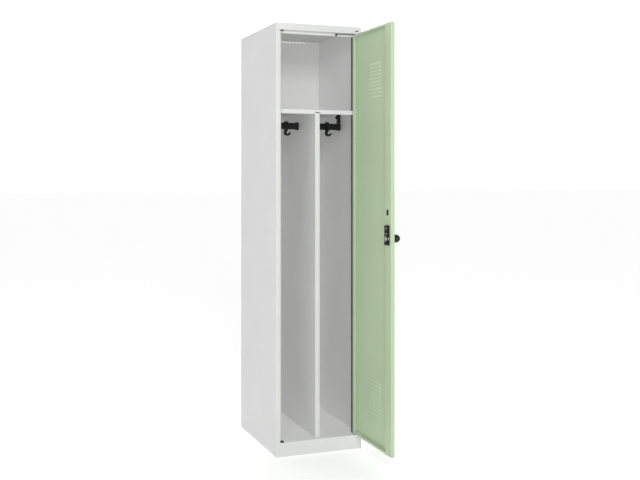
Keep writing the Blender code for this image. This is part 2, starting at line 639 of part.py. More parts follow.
def lock_case():
    """Black latch case with a V notch below, a pocket for the cam and a channel for the bolt."""
    front = DOOR_THICK + GAP
    rear = front + CASE_DEEP
    outline = [(CASE_LEFT, CASE_BOTTOM), (LOCK_X - 0.0110, CASE_BOTTOM),
               (LOCK_X - 0.0025, CASE_BOTTOM + 0.0100), (LOCK_X + 0.0060, CASE_BOTTOM),
               (CASE_RIGHT, CASE_BOTTOM), (CASE_RIGHT, CASE_TOP), (CASE_LEFT, CASE_TOP)]
    case = prism("lock_case", outline, "XZ", front, rear, DOOR, BLACK_PLASTIC)
    pocket = box_work((LOCK_X - 0.0127, front + 0.0036, LOCK_Z - 0.0138),
                      (LOCK_X + 0.0104, rear + 0.001, LOCK_Z + 0.0110))
    channel = box_work((CASE_LEFT - 0.001, front + 0.0036, LOCK_Z - 0.0055),
                       (LOCK_X - 0.0120, front + 0.0080, LOCK_Z + 0.0055))
    cut(case, finish("case_pocket", pocket, DOOR, None))
    cut(case, finish("case_channel", channel, DOOR, None))
    cut(case, cylinder("case_bore", (LOCK_X, front, LOCK_Z), 0.0044, 0.012, "Y", DOOR))
    seats = [cylinder_work((LOCK_X - 0.0030, rear, z), 0.0037, 0.0036, "Y") for z in CASE_SCREWS]
    cut(case, finish("case_screw_seats", join_works(seats), DOOR, None))
    for label, z in zip(("lower", "upper"), CASE_SCREWS):
        spot = (LOCK_X - 0.0030, rear - 0.0006, z)
        cylinder("case_screw_" + label, spot, 0.0032, 0.0018, "Y", DOOR, ZINC_STEEL)


def latch_bolt():
    """Flat bolt that slides out of the case towards the door's free edge, with a tail under the cam."""
    front = DOOR_THICK + GAP
    bar = box_work((CASE_LEFT - BOLT_REACH, front + 0.0048, LOCK_Z - 0.0050),
                   (LOCK_X - 0.0099, front + 0.0074, LOCK_Z + 0.0050), 0.0006)
    bolt = finish("latch_bolt", bar, LOCK, ZINC_STEEL)
    tail = box_work((LOCK_X - 0.0120, front + 0.0049, LOCK_Z - 0.0049),
                    (LOCK_X - 0.0052, front + 0.0055, LOCK_Z + 0.0049))
    cut(bolt, finish("bolt_tail", tail, LOCK, None), "UNION")


def latch_cam():
    """Round cam with a nose, turned by the spindle in front of the bolt's tail."""
    front = DOOR_THICK + GAP + 0.0059
    rear = front + 0.0030
    disc = cylinder_work((LOCK_X, (front + rear) / 2, LOCK_Z), 0.0095, rear - front, "Y")
    cam = finish("latch_cam", disc, LOCK, ZINC_STEEL, True)
    nose_line = [(LOCK_X + 0.0008, LOCK_Z), (LOCK_X + 0.0092, LOCK_Z), (LOCK_X + 0.0064, LOCK_Z - 0.0112),
                 (LOCK_X + 0.0014, LOCK_Z - 0.0112)]
    nose = prism_work(nose_line, "XZ", front, rear)
    cut(cam, finish("cam_nose", nose, LOCK, None), "UNION")


def spindle():
    low = -0.0030
    high = DOOR_THICK + GAP + 0.0056
    cylinder("latch_spindle", (LOCK_X, (low + high) / 2, LOCK_Z), 0.0038, high - low, "Y", LOCK, ZINC_STEEL)


def turn_knob():
    """Round body with a half-round grip across it; the grip has an eye."""
    base = -0.0036
    shoulder = -0.0160
    body = cylinder_work((LOCK_X, (base + shoulder) / 2, LOCK_Z), KNOB_RADIUS, base - shoulder, "Y")
    knob = finish("turn_knob", body, LOCK, BLACK_PLASTIC, True)
    reach = KNOB_REACH + shoulder
    grip_radius = KNOB_RADIUS - 0.0006
    outline = [(shoulder + 0.0010, LOCK_Z - grip_radius)]
    steps = 14
    for step in range(steps + 1):
        angle = -math.pi / 2 + math.pi * step / steps
        outline.append((shoulder - reach * math.cos(angle), LOCK_Z + grip_radius * math.sin(angle)))
    outline.append((shoulder + 0.0010, LOCK_Z + grip_radius))
    grip = prism_work(outline, "YZ", LOCK_X - 0.0060, LOCK_X + 0.0060)
    cut(knob, finish("knob_grip", grip, LOCK, None), "UNION")
    cut(knob, cylinder("knob_eye", (LOCK_X, shoulder - 0.0095, LOCK_Z), 0.0036, 0.030, "X", LOCK))


def knob_rosette():
    plate = cylinder("knob_rosette", (LOCK_X, -0.0018, LOCK_Z), 0.0200, 0.0030, "Y", DOOR, BLACK_PLASTIC)
    cut(plate, cylinder("rosette_bore", (LOCK_X, 0.0, LOCK_Z), 0.0043, 0.010, "Y", DOOR))


def pivot_set(label, low_end, high_end, block_low, block_high):
    """A pivot pin and the block in the door's corner that holds it."""
    cylinder(label + "_pivot_pin", (PIVOT_X, PIVOT_Y, (low_end + high_end) / 2), PIVOT_PIN_RADIUS,
             high_end - low_end, "Z", DOOR, ZINC_STEEL)
    right = DOOR_RIGHT - SHEET - GAP
    block = box(label + "_pivot_block", (right - 0.0380, SHEET + 2 * GAP, block_low),
                (right, DOOR_THICK - SHEET - GAP, block_high), DOOR, ZINC_STEEL)
    bore = cylinder(label + "_block_bore", (PIVOT_X, PIVOT_Y, (block_low + block_high) / 2),
                    PIVOT_PIN_RADIUS + GAP, 0.080, "Z", DOOR)
    cut(block, bore)


def pivots():
    """Both pivots. Each block fills the corner between the skin, the return and the end fold."""
    tall = 0.0120
    low = DOOR_BOTTOM + SHEET + 2 * GAP
    high = DOOR_TOP - SHEET - 2 * GAP
    pivot_set("lower", PLINTH_TOP - 0.0060, DOOR_BOTTOM + 0.0160, low, low + tall)
    pivot_set("upper", DOOR_TOP - 0.0160, HEADER_BOTTOM + 0.0170, high - tall, high)


# --- assembly -------------------------------------------------------------------------------
def build_carcass():
    strike_slot(side_panel("left_side_panel", False))
    side_panel("right_side_panel", True)
    roof_panel()
    plinth_panel()
    floor_panel()
    back_panel()
    hat_shelf()
    partition()
    shelf_clips()
    hinge_side_strip()
    blanking_caps()
    pivot_bush("lower_pivot_bush", PLINTH_TOP + GAP, DOOR_BOTTOM - PLINTH_TOP - 3 * GAP, True)
    pivot_bush("upper_pivot_bush", HEADER_BOTTOM - GAP, HEADER_BOTTOM - DOOR_TOP - 3 * GAP, False)
    hold_open_spring()


def build_rails():
    left_wall = SHEET + 3 * GAP + SHEET
    right_wall = WIDTH - left_wall
    web_left = PARTITION_LEFT - GAP
    web_right = PARTITION_LEFT + SHEET + GAP
    seat = 0.0033
    coat_rail("coat_rail_left", left_wall + seat, web_left - seat)
    coat_rail("coat_rail_right", web_right + seat, right_wall - seat)
    rail_socket("rail_socket_left", web_left, -1)
    rail_socket("rail_socket_right", web_right, 1)
    rail_hanger("rail_hanger_left", left_wall, 1)
    rail_hanger("rail_hanger_right", right_wall, -1)
    coat_hook("coat_hook_left", HOOK_LEFT_X)
    coat_hook("coat_hook_right", HOOK_RIGHT_X)


def build_door():
    door_panel()
    door_stiffener()
    blank_plug()
    lock_case()
    latch_bolt()
    latch_cam()
    spindle()
    turn_knob()
    knob_rosette()
    pivots()


build_carcass()
build_rails()
build_door()
bpy.context.view_layer.update()
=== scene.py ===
"""Looks of the school locker: fine sheet-metal, plastic and zinc-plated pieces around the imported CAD
frame, with powder-coat, moulded-plastic and plated-steel materials, a pale floor and studio light.

Metres, in the frame's own axes. Most shapes are measured from the carcass's front left bottom corner
(x right, y back, z up), and door pieces in the same way with the door shut.
"""
import json
import math

import bmesh
import bpy
from mathutils import Matrix, Vector


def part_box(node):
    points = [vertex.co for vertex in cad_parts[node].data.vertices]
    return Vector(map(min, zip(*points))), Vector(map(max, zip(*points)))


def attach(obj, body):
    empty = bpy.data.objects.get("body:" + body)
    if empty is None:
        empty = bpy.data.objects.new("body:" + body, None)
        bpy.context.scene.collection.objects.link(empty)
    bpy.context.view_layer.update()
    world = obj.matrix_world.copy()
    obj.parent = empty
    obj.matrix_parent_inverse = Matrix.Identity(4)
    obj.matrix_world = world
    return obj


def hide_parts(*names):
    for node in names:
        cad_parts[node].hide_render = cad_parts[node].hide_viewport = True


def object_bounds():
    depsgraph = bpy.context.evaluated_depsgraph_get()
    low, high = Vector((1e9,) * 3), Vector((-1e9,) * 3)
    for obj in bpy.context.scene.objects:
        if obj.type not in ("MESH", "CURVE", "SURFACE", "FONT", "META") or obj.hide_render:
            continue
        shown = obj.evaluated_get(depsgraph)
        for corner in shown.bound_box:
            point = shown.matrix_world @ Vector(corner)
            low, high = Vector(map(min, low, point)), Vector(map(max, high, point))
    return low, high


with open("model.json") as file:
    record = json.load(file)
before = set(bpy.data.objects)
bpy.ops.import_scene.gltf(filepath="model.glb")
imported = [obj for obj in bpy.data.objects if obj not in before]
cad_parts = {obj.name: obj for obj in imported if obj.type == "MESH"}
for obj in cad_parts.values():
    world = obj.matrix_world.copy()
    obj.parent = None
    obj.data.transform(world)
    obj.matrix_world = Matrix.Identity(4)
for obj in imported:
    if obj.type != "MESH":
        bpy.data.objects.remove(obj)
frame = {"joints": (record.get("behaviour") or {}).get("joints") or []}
CAD_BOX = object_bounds()

# --- driving sizes, from the frame ----------------------------------------------------------
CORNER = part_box("left_side_panel")[0]
FAR_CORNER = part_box("right_side_panel")[1]
WIDTH, DEPTH, HEIGHT = FAR_CORNER - CORNER
SWING = next(joint for joint in frame["joints"] if joint["name"] == "door_swing")
PIVOT = Vector(SWING["pos_m"]) - CORNER
PIVOT.z = 0.0

SHEET = 0.001
FOLD = 0.0018
GAP = 0.0003
PIN_HOLE = 0.0028
OVER = 0.006
ARC_STEPS = 6


def local(point):
    """A frame point, measured from the carcass's corner."""
    return Vector(point) - CORNER


def shut_box(node):
    """Low and high corner of a door piece's box with the door shut, to a micron."""
    low, high = (local(corner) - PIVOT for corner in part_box(node))
    corners = ((PIVOT.x + low.y, PIVOT.y - high.x, low.z), (PIVOT.x + high.y, PIVOT.y - low.x, high.z))
    return [[round(value, 6) for value in corner] for corner in corners]


PLINTH_TOP = local(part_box("plinth_panel")[1]).z
HEADER_BOTTOM = 1.8200
STILE = 0.0195
STOP_FRONT = 0.0200
STOP_WIDTH = 0.0105
STOP_RETURN = 0.0180
STOP_TOP_EDGE = local(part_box("roof_panel")[0]).z
BACK_INNER = local(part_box("back_panel")[0]).y
REAR_FLANGE = 0.0150
STRIP_THICK = 0.0015
SHELF_TOP = local(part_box("hat_shelf")[1]).z
SHELF_LOW = local(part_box("hat_shelf")[0]).z
PARTITION_LEFT = local(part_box("centre_partition")[0]).x
PARTITION_FACE = 0.0215
PARTITION_TOP = 1.4695

RAIL_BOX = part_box("coat_rail_right")
RAIL_Y = local((RAIL_BOX[0] + RAIL_BOX[1]) / 2).y
RAIL_Z = local((RAIL_BOX[0] + RAIL_BOX[1]) / 2).z
RAIL_TALL = (RAIL_BOX[1] - RAIL_BOX[0]).z
RAIL_THICK = (RAIL_BOX[1] - RAIL_BOX[0]).y

(DOOR_LEFT, _, DOOR_BOTTOM), (DOOR_RIGHT, DOOR_THICK, DOOR_TOP) = shut_box("door_panel")
SIDE_LIP = 0.0150
END_LIP = 0.0080
STIFFENER_RIGHT = 0.0740
LOUVRE_CENTRE = 0.1915
LOUVRE_WIDTH = 0.1070
LOUVRE_TALL = 0.0080
LOUVRE_DEEP = 0.0038
LOUVRE_ABOVE = 0.0050
LOUVRE_PITCH = 0.0152
LOUVRE_COUNT = 10
LOUVRE_FIRST = (0.1945, 1.5320)

KNOB_LOW, KNOB_HIGH = shut_box("turn_knob")
KNOB_RADIUS = (KNOB_HIGH[2] - KNOB_LOW[2]) / 2
KNOB_REACH = -KNOB_LOW[1]
LOCK_X = (KNOB_LOW[0] + KNOB_HIGH[0]) / 2
LOCK_Z = (KNOB_LOW[2] + KNOB_HIGH[2]) / 2
SPINDLE_HOLE = 0.0043
(CASE_LEFT, CASE_FRONT, CASE_BOTTOM), (CASE_RIGHT, CASE_REAR, CASE_TOP) = shut_box("lock_case")
CASE_SCREWS = (0.9640, 0.9860)
BOLT_LEFT = shut_box("latch_bolt")[0][0]
PLUG_LOW, PLUG_HIGH = shut_box("lock_blank_plug")
PLUG = ((PLUG_LOW[0] + PLUG_HIGH[0]) / 2, (PLUG_LOW[2] + PLUG_HIGH[2]) / 2)

CARCASS = Matrix.Translation(CORNER)
DOOR_OPEN = (Matrix.Translation(CORNER + PIVOT) @ Matrix.Rotation(math.radians(90), 4, "Z")
             @ Matrix.Translation(-PIVOT))


# --- materials ------------------------------------------------------------------------------
class Nodes:
    """A material's node tree, with short ways to add, join and paint with nodes."""

    def __init__(self, name):
        self.material = bpy.data.materials.new(name)
        self.material.use_nodes = True
        self.tree = self.material.node_tree
        self.shader = self.tree.nodes["Principled BSDF"]
        self.place = self.add("ShaderNodeTexCoord").outputs["Object"]

    def add(self, kind, **inputs):
        node = self.tree.nodes.new(kind)
        for name, value in inputs.items():
            node.inputs[name.replace("_", " ")].default_value = value
        return node

    def join(self, output, target):
        self.tree.links.new(output, target)

    def noise(self, scale, detail=2.0, roughness=0.5, stretch=(1.0, 1.0, 1.0)):
        mapping = self.add("ShaderNodeMapping", Scale=stretch)
        self.join(self.place, mapping.inputs["Vector"])
        node = self.add("ShaderNodeTexNoise", Scale=scale, Detail=detail, Roughness=roughness)
        self.join(mapping.outputs["Vector"], node.inputs["Vector"])
        return node.outputs["Fac"]

    def ramp(self, factor, low, high, start=0.3, end=0.7):
        node = self.add("ShaderNodeValToRGB")
        node.color_ramp.elements[0].position = start
        node.color_ramp.elements[1].position = end
        node.color_ramp.elements[0].color = (*low, 1.0)
        node.color_ramp.elements[1].color = (*high, 1.0)
        self.join(factor, node.inputs["Fac"])
        return node.outputs["Color"]

    def span(self, factor, low, high, start=0.3, end=0.7):
        node = self.add("ShaderNodeMapRange", From_Min=start, From_Max=end, To_Min=low, To_Max=high)
        self.join(factor, node.inputs["Value"])
        return node.outputs["Result"]

    def vary(self, socket, scale, low, high):
        """Drive one of the shader's single values from a noise."""
        self.join(self.span(self.noise(scale), low, high), self.shader.inputs[socket])

    def bump(self, height, strength, distance):
        node = self.add("ShaderNodeBump", Strength=strength, Distance=distance)
        self.join(height, node.inputs["Height"])
        self.join(node.outputs["Normal"], self.shader.inputs["Normal"])


def scaled(colour, factor):
    return tuple(channel * factor for channel in colour)


def powder_coat(name, colour, roughness):
    """Baked powder coat: faint cloudiness, fine orange peel, and a sheen that varies a little."""
    nodes = Nodes(name)
    cloud = nodes.noise(5.0, 3.0)
    nodes.join(nodes.ramp(cloud, scaled(colour, 0.975), scaled(colour, 1.015)),
               nodes.shader.inputs["Base Color"])
    nodes.vary("Roughness", 60.0, roughness - 0.03, roughness + 0.04)
    nodes.bump(nodes.noise(700.0, 2.0), 0.10, 0.0002)
    nodes.shader.inputs["Specular IOR Level"].default_value = 0.4
    return nodes.material


def moulded_plastic(name, colour, roughness):
    """Black moulded plastic: fine spark-eroded grain, and slightly polished high spots."""
    nodes = Nodes(name)
    nodes.join(nodes.ramp(nodes.noise(90.0, 3.0), scaled(colour, 0.75), scaled(colour, 1.3)),
               nodes.shader.inputs["Base Color"])
    nodes.vary("Roughness", 160.0, roughness - 0.06, roughness + 0.08)
    nodes.bump(nodes.noise(2200.0, 2.0), 0.25, 0.0001)
    nodes.shader.inputs["Specular IOR Level"].default_value = 0.3
    return nodes.material


def plated_steel(name, colour, roughness):
    """Bright zinc plate: a mottled sheen with fine drawing lines."""
    nodes = Nodes(name)
    nodes.shader.inputs["Metallic"].default_value = 1.0
    nodes.join(nodes.ramp(nodes.noise(220.0, 3.0), scaled(colour, 0.85), scaled(colour, 1.1)),
               nodes.shader.inputs["Base Color"])
    nodes.vary("Roughness", 400.0, roughness - 0.08, roughness + 0.1)
    nodes.bump(nodes.noise(500.0, 2.0, 0.6, (1.0, 1.0, 12.0)), 0.12, 0.0001)
    return nodes.material


GREY = powder_coat("light_grey_powder_coat", (0.685, 0.686, 0.684), 0.42)
GREEN = powder_coat("pastel_green_powder_coat", (0.480, 0.600, 0.405), 0.42)
BLACK = moulded_plastic("black_moulded_plastic", (0.011, 0.011, 0.012), 0.40)
# Painted shade: the near-black of the hinge-side strip stands for the shadow gap along the door's hinge edge.
PAINTED_SHADE_STRIP = moulded_plastic("painted_shade_strip", (0.018, 0.018, 0.019), 0.70)
# Black coated tube for the coat rails; on the hold-open wire the same black is partly painted shade, for the
# wire's shadow on the header's underside.
BLACK_TUBE_AND_SHADE = moulded_plastic("black_tube_and_painted_shade", (0.010, 0.010, 0.011), 0.36)
ZINC = plated_steel("zinc_plated_steel", (0.84, 0.85, 0.87), 0.36)


# --- mesh helpers ---------------------------------------------------------------------------
def box(low, high, bevel=0.0, steps=3):
    """A box between two corners, with rounded edges if bevel is given."""
    work = bmesh.new()
    bmesh.ops.create_cube(work, size=1.0)
    bmesh.ops.scale(work, vec=Vector(high) - Vector(low), verts=work.verts)
    bmesh.ops.translate(work, vec=(Vector(low) + Vector(high)) / 2, verts=work.verts)
    if bevel:
        bmesh.ops.bevel(work, geom=work.edges[:], offset=bevel, segments=steps, affect="EDGES", profile=0.5)
    return work


def disc(centre, radius, length, axis="Z", steps=48):
    """A round bar about its centre, along one axis."""
    work = bmesh.new()
    bmesh.ops.create_cone(work, cap_ends=True, segments=steps, radius1=radius, radius2=radius, depth=length)
    turns = {"X": Matrix.Rotation(math.pi / 2, 4, "Y"), "Y": Matrix.Rotation(math.pi / 2, 4, "X")}
    if axis in turns:
        bmesh.ops.transform(work, matrix=turns[axis], verts=work.verts)
    bmesh.ops.translate(work, vec=centre, verts=work.verts)
    return work


def prism(outline, plane, low, high):
    """Extrude a closed outline. plane names the outline's two axes; low..high runs on the third."""
    spots = {"XZ": lambda p, h: (p[0], h, p[1]), "YZ": lambda p, h: (h, p[0], p[1]),
             "XY": lambda p, h: (p[0], p[1], h)}[plane]
    work = bmesh.new()
    face = work.faces.new([work.verts.new(spots(point, low)) for point in outline])
    grown = bmesh.ops.extrude_face_region(work, geom=[face])
    moved = [part for part in grown["geom"] if isinstance(part, bmesh.types.BMVert)]
    bmesh.ops.translate(work, vec=Vector(spots((0, 0), high)) - Vector(spots((0, 0), low)), verts=moved)
    bmesh.ops.recalc_face_normals(work, faces=work.faces[:])
    return work


def turned(profile, centre, axis=(0, 0, 1), steps=48):
    """A lathe form: profile is (radius, height) pairs from one pole to the other."""
    work = bmesh.new()
    line = [work.verts.new((radius, 0.0, height)) for radius, height in profile]
    edges = [work.edges.new(pair) for pair in zip(line, line[1:])]
    bmesh.ops.spin(work, geom=line + edges, cent=(0, 0, 0), axis=(0, 0, 1), angle=2 * math.pi,
                   steps=steps, use_duplicate=False)
    bmesh.ops.remove_doubles(work, verts=work.verts[:], dist=0.00001)
    bmesh.ops.recalc_face_normals(work, faces=work.faces[:])
    turn = Vector(axis).to_track_quat("Z", "Y").to_matrix().to_4x4()
    bmesh.ops.transform(work, matrix=Matrix.Translation(centre) @ turn, verts=work.verts)
    return work


def rounded_path(points, radius):
    """An open path whose inner corners are arcs of ARC_STEPS steps."""
    path = [Vector(points[0])]
    for before, corner, after in zip(points, points[1:], points[2:]):
        corner = Vector(corner)
        into = (Vector(before) - corner).normalized()
        away = (Vector(after) - corner).normalized()
        half = into.angle(away) / 2
        reach = radius / math.tan(half)
        centre = corner + (into + away).normalized() * radius / math.sin(half)
        start = corner + into * reach - centre
        sweep = start.angle_signed(corner + away * reach - centre)
        for step in range(ARC_STEPS + 1):
            path.append(centre + Matrix.Rotation(-sweep * step / ARC_STEPS, 2) @ start)
    path.append(Vector(points[-1]))
    return path


def folded(points, plane, low, high, radius=FOLD):
    """A bent sheet as a closed solid: the path along its middle, offset to both sides and drawn out."""
    path = rounded_path(points, radius)
    sides = []
    for sign in (1, -1):
        line = []
        for index, spot in enumerate(path):
            along_in = spot - path[max(index - 1, 0)]
            along_out = path[min(index + 1, len(path) - 1)] - spot
            along = (along_in.normalized() + along_out.normalized()).normalized()
            lean = max(0.5, along.dot((along_out if along_out.length else along_in).normalized()))
            line.append(spot + Vector((-along.y, along.x)) * sign * SHEET / 2 / lean)
        sides.append(line)
    return prism([tuple(spot) for spot in sides[0] + sides[1][::-1]], plane, low, high)


def oval(half_wide, half_tall, centre=(0.0, 0.0), steps=16):
    """A slot shape with round ends at its top and bottom, or left and right if it is wider."""
    radius = min(half_wide, half_tall)
    points = []
    for side in (0, 1):
        for step in range(steps + 1):
            angle = math.pi * (side + step / steps)
            x = radius * math.cos(angle)
            z = radius * math.sin(angle) + (half_tall - radius) * (1 if side == 0 else -1)
            if half_wide > half_tall:
                x = radius * math.sin(angle) + (half_wide - radius) * (1 if side == 0 else -1)
                z = -radius * math.cos(angle)
            points.append((centre[0] + x, centre[1] + z))
    return points


def to_object(work, name):
    """Turn a bmesh into a linked object, and free the bmesh."""
    mesh = bpy.data.meshes.new(name)
    work.to_mesh(mesh)
    work.free()
    item = bpy.data.objects.new(name, mesh)
    bpy.context.scene.collection.objects.link(item)
    return item


def combined(works):
    """Several separate shapes in one bmesh."""
    total = bmesh.new()
    for work in works:
        mesh = bpy.data.meshes.new("part")
        work.to_mesh(mesh)
        work.free()
        total.from_mesh(mesh)
        bpy.data.meshes.remove(mesh)
    return total


def carved(base, cuts=(), joins=()):
    """base with the joins added and the cuts taken away, as a new bmesh."""
    item = to_object(base, "carving")
    tools = []
    for operation, works in (("UNION", joins), ("DIFFERENCE", cuts)):
        for work in works:
            tool = to_object(work, "tool")
            change = item.modifiers.new("change", "BOOLEAN")
            change.operation = operation
            change.object = tool
            tools.append(tool)
    solid = bpy.data.meshes.new_from_object(item.evaluated_get(bpy.context.evaluated_depsgraph_get()))
    result = bmesh.new()
    result.from_mesh(solid)
    for tool in [item, *tools]:
        mesh = tool.data
        bpy.data.objects.remove(tool)
        bpy.data.meshes.remove(mesh)
    bpy.data.meshes.remove(solid)
    return result


def show(name, work, body, material, stands_for=(), where=CARCASS, bevel=0.0, steps=2, smooth=35):
    """Make the visible piece: in place, smooth where it is round, softened edges, riding on its body."""
    bmesh.ops.transform(work, matrix=where, verts=work.verts)
    item = to_object(work, name)
    item.data.materials.append(material)
    item.data.shade_smooth()
    item.data.set_sharp_from_angle(angle=math.radians(smooth))
    if bevel:
        soften = item.modifiers.new("soften", "BEVEL")
        soften.width = bevel
        soften.segments = steps
        soften.limit_method = "ANGLE"
        soften.angle_limit = math.radians(smooth)
        soften.use_clamp_overlap = True
        soften.harden_normals = True
    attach(item, body)
    if stands_for:
        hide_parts(*stands_for)
    return item


def grey_piece(name, work, node, bevel=0.0):
    return show(name, work, "carcass", GREY, (node,), bevel=bevel)


def black_piece(name, work, node, body="carcass", where=CARCASS, bevel=0.0004, steps=2, smooth=35):
    return show(name, work, body, BLACK, (node,), where, bevel, steps, smooth)


def zinc_piece(name, work, node, body="carcass", where=CARCASS, bevel=0.0):
    return show(name, work, body, ZINC, (node,), where, bevel)


# --- carcass --------------------------------------------------------------------------------
def side_panel(node, mirror):
    """Wall, stile, door stop, stop return and rear flange, cut out for the roof, plinth and back."""
    half = SHEET / 2
    strike_low, strike_high, strike_half = 0.0012, 0.0085, 0.0075
    path = [(REAR_FLANGE, DEPTH - half), (half, DEPTH - half), (half, half), (STILE - half, half),
            (STILE - half, STOP_FRONT + half), (STILE + STOP_WIDTH - half, STOP_FRONT + half),
            (STILE + STOP_WIDTH - half, STOP_FRONT + SHEET + STOP_RETURN)]
    outer = STILE + 2 * STOP_WIDTH
    spans = {"front": (SHEET + GAP, outer), "stop": (STILE - 2 * SHEET, outer),
             "rear": (SHEET + GAP, 2 * REAR_FLANGE)}
    if mirror:
        path = [(WIDTH - x, y) for x, y in path]
        spans = {key: (WIDTH - high, WIDTH - low) for key, (low, high) in spans.items()}
    fold_start = STOP_FRONT - FOLD
    cuts = [box((spans["front"][0], -GAP, HEADER_BOTTOM - GAP), (spans["front"][1], DEPTH / 2, HEIGHT + GAP)),
            box((spans["stop"][0], fold_start, -GAP), (spans["stop"][1], DEPTH / 2, PLINTH_TOP + GAP)),
            box((spans["stop"][0], fold_start, STOP_TOP_EDGE - GAP),
                (spans["stop"][1], DEPTH / 2, HEADER_BOTTOM + SHEET)),
            box((spans["rear"][0], DEPTH / 2, HEIGHT - SHEET - GAP),
                (spans["rear"][1], DEPTH + GAP, HEIGHT + GAP))]
    if not mirror:
        cuts.append(box((STILE + SHEET, STOP_FRONT + strike_low, LOCK_Z - strike_half),
                        (STILE + STOP_WIDTH + SHEET, STOP_FRONT + strike_high, LOCK_Z + strike_half)))
    grey_piece(node + "_skin", carved(folded(path, "XY", 0.0, HEIGHT), cuts), node)


def roof_panel():
    """Roof, header face, header underside and top door stop, with the oval access hole."""
    half = SHEET / 2
    path = [(DEPTH - SHEET - GAP, HEIGHT - half), (half, HEIGHT - half), (half, HEADER_BOTTOM + half),
            (STOP_FRONT + half, HEADER_BOTTOM + half), (STOP_FRONT + half, STOP_TOP_EDGE + half),
            (STOP_FRONT + STOP_RETURN, STOP_TOP_EDGE + half)]
    ends = (SHEET + 2 * GAP, WIDTH - SHEET - 2 * GAP)
    access = prism(oval(0.0090, 0.0042, (0.3788, 1.8320)), "XZ", -OVER, OVER)
    pin_hole = disc((PIVOT.x, PIVOT.y, HEADER_BOTTOM), PIN_HOLE, OVER)
    grey_piece("roof_panel_skin", carved(folded(path, "YZ", *ends), [access, pin_hole]), "roof_panel")


def plinth_panel():
    """Kick face with its returns; its ends run under the stiles' folds."""
    half = SHEET / 2
    foot = 0.0150
    path = [(STOP_FRONT, PLINTH_TOP - half), (half, PLINTH_TOP - half), (half, half), (foot, half)]
    tuck = FOLD + SHEET / 2
    work = folded(path, "YZ", STILE - tuck, WIDTH - STILE + tuck)
    hole = disc((PIVOT.x, PIVOT.y, PLINTH_TOP), PIN_HOLE, OVER)
    grey_piece("plinth_panel_skin", carved(work, [hole]), "plinth_panel")


def floor_panel():
    half = SHEET / 2
    low_edge = local(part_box("floor_panel")[0]).z
    front, rear = STOP_FRONT + GAP + half, BACK_INNER - GAP - half
    path = [(front, low_edge), (front, PLINTH_TOP - half), (rear, PLINTH_TOP - half), (rear, low_edge)]
    tight = 0.0008
    work = folded(path, "YZ", SHEET + GAP, WIDTH - SHEET - GAP, tight)
    grey_piece("floor_panel_skin", work, "floor_panel")


def back_panel():
    """Recessed back with rearward flanges and a row of vent slots under the roof."""
    half = SHEET / 2
    edge = SHEET + GAP + half
    front, rear = BACK_INNER + half, DEPTH - 2 * SHEET
    path = [(edge, rear), (edge, front), (WIDTH - edge, front), (WIDTH - edge, rear)]
    slots, pitch = 14, 0.0180
    slot_z = HEIGHT - 0.0045
    first = WIDTH / 2 - pitch * (slots - 1) / 2
    cuts = [prism(oval(0.0060, 0.0014, (first + index * pitch, slot_z), 8), "XZ",
                  BACK_INNER - OVER, BACK_INNER + OVER) for index in range(slots)]
    work = carved(folded(path, "XY", 0.0, HEIGHT - SHEET - GAP), [combined(cuts)])
    grey_piece("back_panel_skin", work, "back_panel")


def hat_shelf():
    """Shelf pan, notched round the door stops and over the partition."""
    side = SHEET + 2 * GAP
    far = BACK_INNER - GAP
    under = SHELF_LOW - SHEET
    edge = 0.0008
    pan = box((side, STOP_FRONT, SHELF_LOW), (WIDTH - side, far, SHELF_TOP), edge)
    notch = STILE + STOP_WIDTH + 2 * GAP
    notch_back = STOP_FRONT + SHEET + STOP_RETURN + 2 * GAP
    strip = STRIP_THICK + GAP
    cuts = [box((side + SHEET, STOP_FRONT + SHEET, under),
                (WIDTH - side - SHEET, far + SHEET, SHELF_TOP - SHEET)),
            box((-SHEET, 0.0, under), (notch, notch_back, HEIGHT)),
            box((WIDTH - notch - strip, 0.0, under), (WIDTH + SHEET, notch_back, HEIGHT)),
            box((PARTITION_LEFT - 2 * GAP, 0.0, under),
                (PARTITION_LEFT + PARTITION_FACE + 2 * GAP, STOP_FRONT + 2 * SHEET, SHELF_LOW + 0.0090))]
    grey_piece("hat_shelf_skin", carved(pan, cuts), "hat_shelf")


def partition():
    """Web with a folded front face and a rear flange, cut back under the shelf's front."""
    half = SHEET / 2
    face_return, flange = 0.0120, 0.0140
    left, right = PARTITION_LEFT + half, PARTITION_LEFT + PARTITION_FACE - half
    front, rear = STOP_FRONT + half, BACK_INNER - GAP - half
    path = [(right, front + face_return), (right, front), (left, front), (left, rear), (left + flange, rear)]
    work = folded(path, "XY", PLINTH_TOP + GAP, SHELF_TOP - SHEET - GAP)
    trim_back = STOP_FRONT + 0.0145
    trim = box((PARTITION_LEFT - SHEET, 0.0, PARTITION_TOP), (right + SHEET, trim_back, HEIGHT))
    grey_piece("centre_partition_skin", carved(work, [trim]), "centre_partition")


def shelf_clips():
    """Four small angle brackets under the shelf."""
    reach, drop, length = 0.0090, 0.0120, 0.0200
    top = SHELF_LOW - GAP
    for side, x, inward in (("left", SHEET + GAP, 1), ("right", WIDTH - SHEET - GAP, -1)):
        tip, web = x + inward * reach, x + inward * SHEET
        outline = [(x, top), (tip, top), (tip, top - SHEET), (web, top - SHEET), (web, top - drop),
                   (x, top - drop)]
        for place, y in (("front", 0.0700), ("rear", 0.4000)):
            node = "shelf_clip_%s_%s" % (side, place)
            zinc_piece(node + "_skin", prism(outline, "XZ", y, y + length), node, bevel=0.0002)


def hinge_strip():
    # Painted shade: a black strip on the hinge side's stop return, drawn for the dark shadow gap along the
    # door's hinge edge.
    face = WIDTH - STILE - STOP_WIDTH - GAP
    low = (face - STRIP_THICK, STOP_FRONT + SHEET + GAP, local(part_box("hinge_side_strip")[0]).z)
    high = (face, STOP_FRONT + STOP_RETURN, STOP_TOP_EDGE - 2 * GAP)
    strip = box(low, high, 0.0004)
    show("hinge_side_strip_skin", strip, "carcass", PAINTED_SHADE_STRIP, ("hinge_side_strip",))


